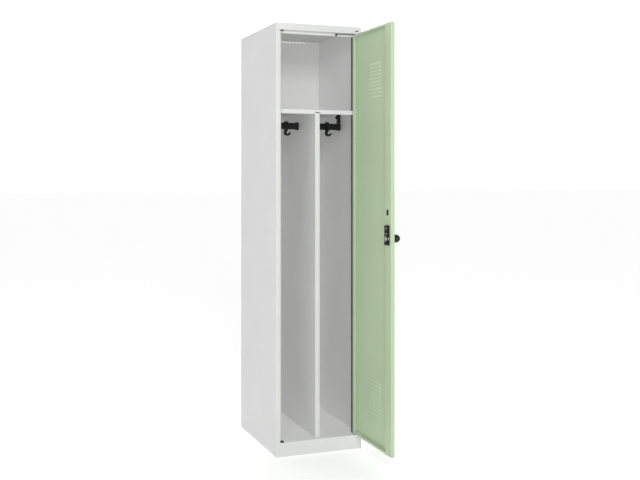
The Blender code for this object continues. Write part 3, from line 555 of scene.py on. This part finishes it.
def cap_profile(radius, tall):
    """A flat cap with a rounded shoulder, from its foot to its crown."""
    shoulder = 0.45 * radius
    base = 0.45 * tall
    steps = 8
    profile = [(0.0, 0.0), (radius, 0.0), (radius, base)]
    for step in range(1, steps + 1):
        angle = math.pi / 2 * step / steps
        profile.append((radius - shoulder * (1 - math.cos(angle)), base + (tall - base) * math.sin(angle)))
    return [*profile, (0.0, tall)]


def caps_and_bushes():
    """Blanking caps on the left and bored bushes on the right, on the plinth and under the header."""
    for node in ("lower_blanking_cap", "upper_blanking_cap", "lower_pivot_bush", "upper_pivot_bush"):
        low, high = (local(corner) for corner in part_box(node))
        centre = (low + high) / 2
        foot, up = (low.z, 1) if node.startswith("lower") else (high.z, -1)
        spot = (centre.x, centre.y, foot)
        work = turned(cap_profile((high.x - low.x) / 2, high.z - low.z), spot, (0, 0, up))
        if "bush" in node:
            work = carved(work, [disc(spot, PIN_HOLE, 0.03)])
        black_piece(node + "_skin", work, node, bevel=0.0)


def hold_open_spring():
    """A straight wire under the header, from beside its anchor to beside the upper pivot, drawn black: partly
    painted shade, for the wire's shadow on the header's underside.
    """
    low, high = (local(corner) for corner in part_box("spring_anchor"))
    centre, radius, tall = (low + high) / 2, (high.x - low.x) / 2, high.y - low.y
    anchor = turned([(0.0, 0.0), (radius, 0.0), (radius, 0.0022), (0.0044, 0.0030), (0.0, tall)],
                    (centre.x, STOP_FRONT - GAP, centre.z), (0, -1, 0))
    black_piece("spring_anchor_skin", anchor, "spring_anchor", bevel=0.0)
    wire_low, wire_high = (local(corner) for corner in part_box("hold_open_spring"))
    thick, round_end = round((wire_high.z - wire_low.z) / 2, 6), 0.0002
    z = round((wire_low.z + wire_high.z) / 2, 6)
    start, end = Vector((centre.x + 0.0060, 0.0176, z)), Vector((PIVOT.x - 0.0070, 0.0105, z))
    length = (end - start).length
    wire = turned([(0.0, 0.0), (thick - round_end, 0.0), (thick, round_end), (thick, length - round_end),
                   (thick - round_end, length), (0.0, length)], start, end - start, 20)
    # The wire's black is partly painted shade: its shadow on the header's underside.
    show("hold_open_spring_skin", wire, "carcass", BLACK_TUBE_AND_SHADE, ("hold_open_spring",))


def cross_screw(centre, radius, tall, axis, turn):
    """A pan head with a cross recess."""
    profile = [(0.0, 0.0), (radius, 0.0), (radius, 0.35 * tall), (0.86 * radius, 0.75 * tall),
               (0.55 * radius, 0.97 * tall), (0.0, tall)]
    head = turned(profile, (0, 0, 0), (0, 0, 1), 36)
    slots = []
    for angle in (turn, turn + math.pi / 2):
        slot = box((-0.62 * radius, -0.11 * radius, 0.45 * tall), (0.62 * radius, 0.11 * radius, 2 * tall))
        bmesh.ops.rotate(slot, verts=slot.verts, cent=(0, 0, 0), matrix=Matrix.Rotation(angle, 3, "Z"))
        slots.append(slot)
    head = carved(head, slots)
    aim = Vector(axis).to_track_quat("Z", "Y").to_matrix().to_4x4()
    bmesh.ops.transform(head, matrix=Matrix.Translation(centre) @ aim, verts=head.verts)
    return head


# --- coat rails and hooks -------------------------------------------------------------------
def rail_oval(grow_thick, grow_tall, low, high):
    """The rail's oval section, grown in thickness and height, between two places across the locker."""
    outline = oval(RAIL_THICK / 2 + grow_thick, RAIL_TALL / 2 + grow_tall, (RAIL_Y, RAIL_Z))
    return prism(outline, "YZ", low, high)


def coat_rails():
    """Two lengths of oval tube, open at their ends."""
    wall = 0.0012
    for node in ("coat_rail_left", "coat_rail_right"):
        low, high = (local(corner).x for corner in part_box(node))
        bore = rail_oval(-wall, -wall, low - SHEET, high + SHEET)
        work = carved(rail_oval(0.0, 0.0, low, high), [bore])
        show(node + "_skin", work, "carcass", BLACK_TUBE_AND_SHADE, (node,))


def rail_sockets():
    """Cups on both sides of the partition, closed against the web and open away from it."""
    length, shell, floor = 0.0140, 0.0028, 0.0030
    for node, wall, inward in (("rail_socket_left", PARTITION_LEFT - GAP, -1),
                               ("rail_socket_right", PARTITION_LEFT + SHEET + GAP, 1)):
        mouth = wall + inward * length
        cup = rail_oval(shell, shell, *sorted((wall, mouth)))
        pocket = rail_oval(GAP, GAP, *sorted((wall + inward * floor, mouth + inward * SHEET)))
        black_piece(node + "_skin", carved(cup, [pocket]), node, bevel=0.0006, steps=3)


HANGER_WIDTH = 0.0135
HANGER_REACH = 0.0330
HANGER_FOOT = 0.0025
HANGER_TOP = SHELF_TOP - SHEET - GAP


def rail_hanger(wall, inward):
    """A cup for the rail's end, its post, the foot under the shelf and the rib between them."""
    inner = wall + inward * HANGER_WIDTH
    low, high = sorted((wall, inner))
    foot_low, foot_high = sorted((wall, wall + inward * HANGER_REACH))
    cup = rail_oval(0.0028, 0.0022, low, high)
    post = box((low, RAIL_Y - 0.0070, RAIL_Z), (high, RAIL_Y + 0.0070, HANGER_TOP))
    plate = box((foot_low, RAIL_Y - 0.0110, HANGER_TOP - HANGER_FOOT),
                (foot_high, RAIL_Y + 0.0110, HANGER_TOP))
    rib_spots = ((-0.0010, 1.4585), (-0.0010, 1.4770), (0.0050, 1.4740), (0.0100, 1.4670), (0.0060, 1.4610))
    rib = prism([(inner + inward * out, z) for out, z in rib_spots], "XZ", RAIL_Y - 0.0032, RAIL_Y + 0.0032)
    pocket = rail_oval(GAP, GAP, *sorted((wall + inward * 0.0030, inner + inward * SHEET)))
    return carved(cup, [pocket], [post, plate, rib])


def rail_hangers():
    left_wall = SHEET + 3 * GAP + SHEET
    screw_out = 0.0260
    for node, wall, inward in (("rail_hanger_left", left_wall, 1),
                               ("rail_hanger_right", WIDTH - left_wall, -1)):
        black_piece(node + "_skin", rail_hanger(wall, inward), node, bevel=0.0005)
        screw = cross_screw((wall + inward * screw_out, RAIL_Y, HANGER_TOP - HANGER_FOOT - GAP),
                            0.0036, 0.0020, (0, 0, -1), 0.4)
        zinc_piece(node + "_screw_skin", screw, node + "_screw")


def hook_outline(x, steps=24):
    """Closed outline of the J: its middle line, offset to both sides by its half thickness."""
    line = [(0.0, -0.0165, 0.0060), (-0.0013, -0.0200, 0.0059), (-0.0027, -0.0245, 0.0057)]
    centre_x, centre_z, radius = 0.0060, -0.0300, 0.0100
    for step in range(steps + 1):
        turn = math.radians(180 + 130 * step / steps)
        half = 0.0054 - 0.0012 * step / steps
        line.append((centre_x + radius * math.cos(turn), centre_z + radius * math.sin(turn), half))
    slope = math.radians(40)
    tip_x, tip_z = line[-1][:2]
    for out, half in ((0.0055, 0.0041), (0.0096, 0.0039), (0.0108, 0.0030)):
        line.append((tip_x + out * math.cos(slope), tip_z + out * math.sin(slope), half))
    left, right = [], []
    for index, (spot_x, spot_z, half) in enumerate(line):
        before, after = line[max(index - 1, 0)], line[min(index + 1, len(line) - 1)]
        along = Vector((after[0] - before[0], after[1] - before[1])).normalized()
        aside = Vector((-along.y, along.x)) * half
        left.append((x + spot_x + aside.x, RAIL_Z + spot_z + aside.y))
        right.append((x + spot_x - aside.x, RAIL_Z + spot_z - aside.y))
    return left + right[::-1]


def coat_hooks():
    """A ring round the rail with the J below it, in one moulding."""
    half_wide, half_deep, left_reach = 0.0065, 0.0055, 0.0088
    for node, body in (("coat_hook_left", "hook_left"), ("coat_hook_right", "hook_right")):
        x = local(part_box(node)[0]).x + left_reach
        eye = rail_oval(0.0042, 0.0072, x - half_wide, x + half_wide)
        tail = prism(hook_outline(x), "XZ", RAIL_Y - half_deep, RAIL_Y + half_deep)
        hole = rail_oval(0.0006, 0.0006, x - 0.02, x + 0.02)
        work = carved(eye, [hole], [tail])
        black_piece(node + "_skin", work, node, body, bevel=0.0009, steps=3, smooth=50)


# --- door -----------------------------------------------------------------------------------
def louvre_heights():
    return [first + index * LOUVRE_PITCH for first in LOUVRE_FIRST for index in range(LOUVRE_COUNT)]


def louvre_hood(z):
    """A strip of the skin pressed inwards: it leaves the skin's plane smoothly and is open below."""
    across, down = 28, 8
    shoulder = 0.10
    rows = []
    work = bmesh.new()
    for sign in (-1, 1):
        grid = []
        for i in range(across + 1):
            side = 2 * i / across - 1
            rise = min(1.0, (1 - abs(side)) / shoulder)
            end = rise * rise * (3 - 2 * rise)
            column = []
            for j in range(down + 1):
                fall = j / down
                depth = LOUVRE_DEEP * end * fall * (1.6 - 0.6 * fall)
                spot = (LOUVRE_CENTRE + side * LOUVRE_WIDTH / 2, SHEET / 2 + depth + sign * SHEET / 2,
                        z + LOUVRE_ABOVE - LOUVRE_TALL * fall)
                column.append(work.verts.new(spot))
            grid.append(column)
        rows.append(grid)
    for grid in rows:
        for i in range(across):
            for j in range(down):
                work.faces.new((grid[i][j], grid[i + 1][j], grid[i + 1][j + 1], grid[i][j + 1]))
    rim = []
    for grid in rows:
        rim.append([column[0] for column in grid] + grid[-1][1:] + [column[-1] for column in grid[-2::-1]]
                   + grid[0][-2:0:-1])
    for index in range(len(rim[0])):
        following = (index + 1) % len(rim[0])
        work.faces.new((rim[0][index], rim[0][following], rim[1][following], rim[1][index]))
    bmesh.ops.recalc_face_normals(work, faces=work.faces[:])
    return work


def door_panel():
    """The pan with its lips and louvres, in one piece."""
    low, high = (DOOR_LEFT, 0.0, DOOR_BOTTOM), (DOOR_RIGHT, DOOR_THICK, DOOR_TOP)
    pan = box(low, high, FOLD, ARC_STEPS)
    hollow = box((low[0] + SHEET, SHEET, low[2] + SHEET),
                 (high[0] - SHEET, DOOR_THICK - SHEET, high[2] - SHEET), FOLD - SHEET, ARC_STEPS)
    mouth = box((low[0] + SIDE_LIP, DOOR_THICK - 2 * SHEET, low[2] + END_LIP),
                (high[0] - SIDE_LIP, DOOR_THICK + SHEET, high[2] - END_LIP))
    half = LOUVRE_WIDTH / 2
    windows = combined([box((LOUVRE_CENTRE - half, -SHEET, z + LOUVRE_ABOVE - LOUVRE_TALL),
                            (LOUVRE_CENTRE + half, 2 * SHEET, z + LOUVRE_ABOVE)) for z in louvre_heights()])
    edge_hole = (DOOR_LEFT, 0.0110, 0.9310)
    holes = [disc((LOCK_X, 0.0, LOCK_Z), SPINDLE_HOLE, OVER, "Y"),
             disc((PIVOT.x, PIVOT.y, DOOR_BOTTOM), PIN_HOLE, OVER),
             disc((PIVOT.x, PIVOT.y, DOOR_TOP), PIN_HOLE, OVER),
             disc(edge_hole, 0.0020, OVER, "X")]
    shell = carved(pan, [hollow, mouth, windows, *holes])
    work = combined([shell, *[louvre_hood(z) for z in louvre_heights()]])
    show("door_panel_skin", work, "door", GREEN, ("door_panel",), DOOR_OPEN)


def door_stiffener():
    """A channel along the lock side: a plate level with the door's lips, folded down to the skin."""
    plate_y = DOOR_THICK - SHEET / 2
    left, right = DOOR_LEFT + SIDE_LIP + GAP, STIFFENER_RIGHT - SHEET / 2
    foot_y = SHEET + GAP + SHEET / 2
    foot, beyond = 0.0100, 0.0100
    path = [(left, plate_y), (right, plate_y), (right, foot_y), (right + foot, foot_y)]
    z_low, z_high = DOOR_BOTTOM + SHEET + 2 * GAP, DOOR_TOP - SHEET - 2 * GAP
    lip_low, lip_high = DOOR_BOTTOM + END_LIP + GAP, DOOR_TOP - END_LIP - GAP
    lips = [box((left - beyond, DOOR_THICK - 2 * SHEET, z_low - beyond),
                (right + 2 * beyond, DOOR_THICK + beyond, lip_low)),
            box((left - beyond, DOOR_THICK - 2 * SHEET, lip_high),
                (right + 2 * beyond, DOOR_THICK + beyond, z_high + beyond))]
    openings = [disc((LOCK_X, DOOR_THICK, LOCK_Z), 0.0050, 0.008, "Y"),
                prism(oval(0.0055, 0.0110, PLUG), "XZ", 0.010, 0.020)]
    work = carved(folded(path, "XY", z_low, z_high, 0.0012), lips + openings)
    show("door_stiffener_skin", work, "door", GREEN, ("door_stiffener",), DOOR_OPEN)


def blank_plug():
    """An oval plug with a flange, in the spare lock hole."""
    flange = prism(oval(0.0068, 0.0126, PLUG), "XZ", DOOR_THICK + GAP, DOOR_THICK + 0.0022)
    body = prism(oval(0.0050, 0.0105, PLUG), "XZ", DOOR_THICK - 0.0050, DOOR_THICK + 0.0010)
    work = carved(flange, joins=[body])
    black_piece("lock_blank_plug_skin", work, "lock_blank_plug", "door", DOOR_OPEN, 0.0006, 3)


def lock_case():
    """The case with its V notch, the cam's pocket and the bolt's channel, and its two screws."""
    front, rear = CASE_FRONT, CASE_REAR
    outline = [(CASE_LEFT, CASE_BOTTOM), (LOCK_X - 0.0110, CASE_BOTTOM),
               (LOCK_X - 0.0025, CASE_BOTTOM + 0.0100), (LOCK_X + 0.0060, CASE_BOTTOM),
               (CASE_RIGHT, CASE_BOTTOM), (CASE_RIGHT, CASE_TOP), (CASE_LEFT, CASE_TOP)]
    pocket_front = front + 0.0036
    pocket = box((LOCK_X - 0.0127, pocket_front, LOCK_Z - 0.0138),
                 (LOCK_X + 0.0104, rear + SHEET, LOCK_Z + 0.0110))
    channel = box((CASE_LEFT - SHEET, pocket_front, LOCK_Z - 0.0055),
                  (LOCK_X - 0.0120, front + 0.0080, LOCK_Z + 0.0055))
    cuts = [pocket, channel, disc((LOCK_X, front, LOCK_Z), 0.0044, 0.012, "Y")]
    screw_x = LOCK_X - 0.0030
    cuts += [disc((screw_x, rear, z), 0.0037, 0.0036, "Y") for z in CASE_SCREWS]
    work = carved(prism(outline, "XZ", front, rear), cuts)
    black_piece("lock_case_skin", work, "lock_case", "door", DOOR_OPEN, 0.0006, 3)
    for label, z in zip(("lower", "upper"), CASE_SCREWS):
        node = "case_screw_" + label
        screw = cross_screw((screw_x, rear - 0.0015, z), 0.0032, 0.0018, (0, 1, 0), 0.3 + z)
        zinc_piece(node + "_skin", screw, node, "door", DOOR_OPEN)


def latch():
    """The bolt with its tail, the cam with its nose, and the spindle."""
    front = CASE_FRONT
    half_tall = 0.0050
    bar = box((BOLT_LEFT, front + 0.0048, LOCK_Z - half_tall),
              (LOCK_X - 0.0099, front + 0.0074, LOCK_Z + half_tall), 0.0006)
    tail = box((LOCK_X - 0.0120, front + 0.0049, LOCK_Z - 0.0049),
               (LOCK_X - 0.0052, front + 0.0055, LOCK_Z + 0.0049))
    zinc_piece("latch_bolt_skin", carved(bar, joins=[tail]), "latch_bolt", "bolt", DOOR_OPEN)
    near, far = front + 0.0059, front + 0.0089
    plate = disc((LOCK_X, (near + far) / 2, LOCK_Z), 0.0095, far - near, "Y")
    nose_tip = LOCK_Z - 0.0112
    nose = prism([(LOCK_X + 0.0008, LOCK_Z), (LOCK_X + 0.0092, LOCK_Z), (LOCK_X + 0.0064, nose_tip),
                  (LOCK_X + 0.0014, nose_tip)], "XZ", near, far)
    zinc_piece("latch_cam_skin", carved(plate, joins=[nose]), "latch_cam", "knob", DOOR_OPEN, 0.0004)
    low, high = -0.0030, front + 0.0056
    spindle = disc((LOCK_X, (low + high) / 2, LOCK_Z), 0.0038, high - low, "Y")
    zinc_piece("latch_spindle_skin", spindle, "latch_spindle", "knob", DOOR_OPEN, 0.0003)


def turn_knob():
    """A round base with a flat D-shaped grip, cross-drilled for a padlock."""
    base, shoulder = KNOB_HIGH[1], -0.0160
    half_grip, overlap, steps = 0.0060, 0.0010, 32
    body = turned([(0.0, 0.0), (KNOB_RADIUS - 0.0004, 0.0), (KNOB_RADIUS, 0.0006), (KNOB_RADIUS, 0.0100),
                   (KNOB_RADIUS - 0.0005, 0.0114), (KNOB_RADIUS - 0.0018, base - shoulder),
                   (0.0, base - shoulder)], (LOCK_X, base, LOCK_Z), (0, -1, 0), 64)
    reach = KNOB_REACH + shoulder
    grip_radius = KNOB_RADIUS - 0.0006
    outline = [(shoulder + overlap, LOCK_Z - grip_radius)]
    for step in range(steps + 1):
        angle = -math.pi / 2 + math.pi * step / steps
        outline.append((shoulder - reach * math.cos(angle), LOCK_Z + grip_radius * math.sin(angle)))
    outline.append((shoulder + overlap, LOCK_Z + grip_radius))
    grip = prism(outline, "YZ", LOCK_X - half_grip, LOCK_X + half_grip)
    eye = disc((LOCK_X, shoulder - 0.0095, LOCK_Z), 0.0036, 0.030, "X")
    work = carved(body, [eye], [grip])
    black_piece("turn_knob_skin", work, "turn_knob", "knob", DOOR_OPEN, 0.0010, 3, 40)


def knob_rosette():
    """The round plate behind the knob."""
    profile = [(0.0, 0.0), (0.0200, 0.0), (0.0200, 0.0018), (0.0194, 0.0027), (0.0185, 0.0030), (0.0, 0.0030)]
    plate = turned(profile, (LOCK_X, -GAP, LOCK_Z), (0, -1, 0), 64)
    work = carved(plate, [disc((LOCK_X, 0.0, LOCK_Z), SPINDLE_HOLE, 2 * OVER, "Y")])
    black_piece("knob_rosette_skin", work, "knob_rosette", "door", DOOR_OPEN, 0.0)


def pivots():
    """The two pins the door turns on, and the blocks that hold them."""
    pin_radius, block_length, bore_length = 0.0025, 0.0380, 0.0800
    right = DOOR_RIGHT - SHEET - GAP
    for label in ("lower", "upper"):
        pin_low, pin_high = (local(corner).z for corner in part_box(label + "_pivot_pin"))
        pin = disc((PIVOT.x, PIVOT.y, (pin_low + pin_high) / 2), pin_radius, pin_high - pin_low, steps=32)
        zinc_piece(label + "_pivot_pin_skin", pin, label + "_pivot_pin", "door", DOOR_OPEN, 0.0004)
        low, high = (local(corner).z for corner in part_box(label + "_pivot_block"))
        block = box((right - block_length, SHEET + 2 * GAP, low), (right, DOOR_THICK - SHEET - GAP, high))
        bore = disc((PIVOT.x, PIVOT.y, (low + high) / 2), PIN_HOLE, bore_length)
        node = label + "_pivot_block"
        zinc_piece(node + "_skin", carved(block, [bore]), node, "door", DOOR_OPEN, 0.0005)


# --- studio ---------------------------------------------------------------------------------
SURROUND_FRONT = 0.29
SURROUND_BACK = 1.15
KEY_SIZE = 0.9
KEY_POWER = 42.0
KEY_AWAY = 3.4
KEY_UP = 2.6
KEY_LEFT = 17.0
FILL_POWER = 1.28
FILL_AWAY = 3.4
FILL_UP = 4.5
FILL_LEFT = 37.0
FLOOR_GLOW = 0.11
BACKDROP_HEADING = 30.0
BACKDROP_EDGE = -0.3
BACKDROP_FULL = 0.75
CAMERA_PLACE = (-1.2631, -3.3806, 1.1990)
CAMERA_HEADING = -0.3310
CAMERA_LENS = 47.80
CAMERA_SHIFT = (0.1037, -0.1009)


def studio_floor():
    """A wide pale floor that gives off a little light, so that it is as white as the surround."""
    work = bmesh.new()
    bmesh.ops.create_grid(work, x_segments=1, y_segments=1, size=60.0)
    floor = to_object(work, "studio_floor")
    nodes = Nodes("pale_studio_floor")
    white = (0.96, 0.96, 0.96)
    nodes.join(nodes.ramp(nodes.noise(1.5), scaled(white, 0.995), white), nodes.shader.inputs["Base Color"])
    nodes.shader.inputs["Roughness"].default_value = 0.8
    nodes.shader.inputs["Specular IOR Level"].default_value = 0.1
    nodes.shader.inputs["Emission Color"].default_value = (1.0, 1.0, 1.0, 1.0)
    nodes.shader.inputs["Emission Strength"].default_value = FLOOR_GLOW
    floor.data.materials.append(nodes.material)
    under = 0.0002
    floor.location.z = CAD_BOX[0].z - under


def surround():
    """A studio that is white behind the locker and dim elsewhere, fading along one level direction."""
    world = bpy.data.worlds.new("studio_surround")
    bpy.context.scene.world = world
    world.use_nodes = True
    tree = world.node_tree
    direction = tree.nodes.new("ShaderNodeTexCoord")
    along = tree.nodes.new("ShaderNodeVectorMath")
    along.operation = "DOT_PRODUCT"
    heading = math.radians(BACKDROP_HEADING)
    along.inputs[1].default_value = (math.sin(heading), math.cos(heading), 0.0)
    fade = tree.nodes.new("ShaderNodeMapRange")
    fade.inputs["From Min"].default_value = BACKDROP_EDGE
    fade.inputs["From Max"].default_value = BACKDROP_FULL
    fade.inputs["To Min"].default_value = SURROUND_FRONT
    fade.inputs["To Max"].default_value = SURROUND_BACK
    tree.links.new(direction.outputs["Generated"], along.inputs[0])
    tree.links.new(along.outputs["Value"], fade.inputs["Value"])
    tree.nodes["Background"].inputs["Color"].default_value = (1.0, 1.0, 1.0, 1.0)
    tree.links.new(fade.outputs["Result"], tree.nodes["Background"].inputs["Strength"])


def lamp_from(data, left, up, away):
    """Put a lamp to the front left of the locker's front centre and aim it there."""
    lamp = bpy.data.objects.new(data.name, data)
    target = CORNER + Vector((WIDTH / 2, 0.0, HEIGHT / 2))
    side = math.radians(left)
    lamp.location = target + Vector((-away * math.sin(side), -away * math.cos(side), up - HEIGHT / 2))
    lamp.rotation_euler = (target - lamp.location).to_track_quat("-Z", "Y").to_euler()
    bpy.context.scene.collection.objects.link(lamp)


def studio_light():
    """One large soft box for the shape, and an even shadowless fill that opens up the inside."""
    key = bpy.data.lights.new("soft_box", "AREA")
    key.shape = "SQUARE"
    key.size = KEY_SIZE
    key.energy = KEY_POWER
    lamp_from(key, KEY_LEFT, KEY_UP, KEY_AWAY)
    fill = bpy.data.lights.new("even_fill", "SUN")
    fill.energy = FILL_POWER
    fill.use_shadow = False
    lamp_from(fill, FILL_LEFT, FILL_UP, FILL_AWAY)


def camera():
    """The view from the front left: level, with the lens shifted so that the locker fits the frame."""
    data = bpy.data.cameras.new("camera")
    data.lens = CAMERA_LENS
    data.sensor_width = 36.0
    data.shift_x, data.shift_y = CAMERA_SHIFT
    item = bpy.data.objects.new("camera", data)
    item.location = CORNER + Vector(CAMERA_PLACE)
    item.rotation_euler = (math.pi / 2, 0.0, CAMERA_HEADING)
    bpy.context.scene.collection.objects.link(item)
    bpy.context.scene.camera = item


# --- assembly -------------------------------------------------------------------------------
side_panel("left_side_panel", False)
side_panel("right_side_panel", True)
roof_panel()
plinth_panel()
floor_panel()
back_panel()
hat_shelf()
partition()
shelf_clips()
hinge_strip()
caps_and_bushes()
hold_open_spring()
coat_rails()
rail_sockets()
rail_hangers()
coat_hooks()
door_panel()
door_stiffener()
blank_plug()
lock_case()
latch()
turn_knob()
knob_rosette()
pivots()
studio_floor()
surround()
studio_light()
camera()
bpy.context.scene.view_settings.view_transform = "Standard"

bpy.context.view_layer.update()
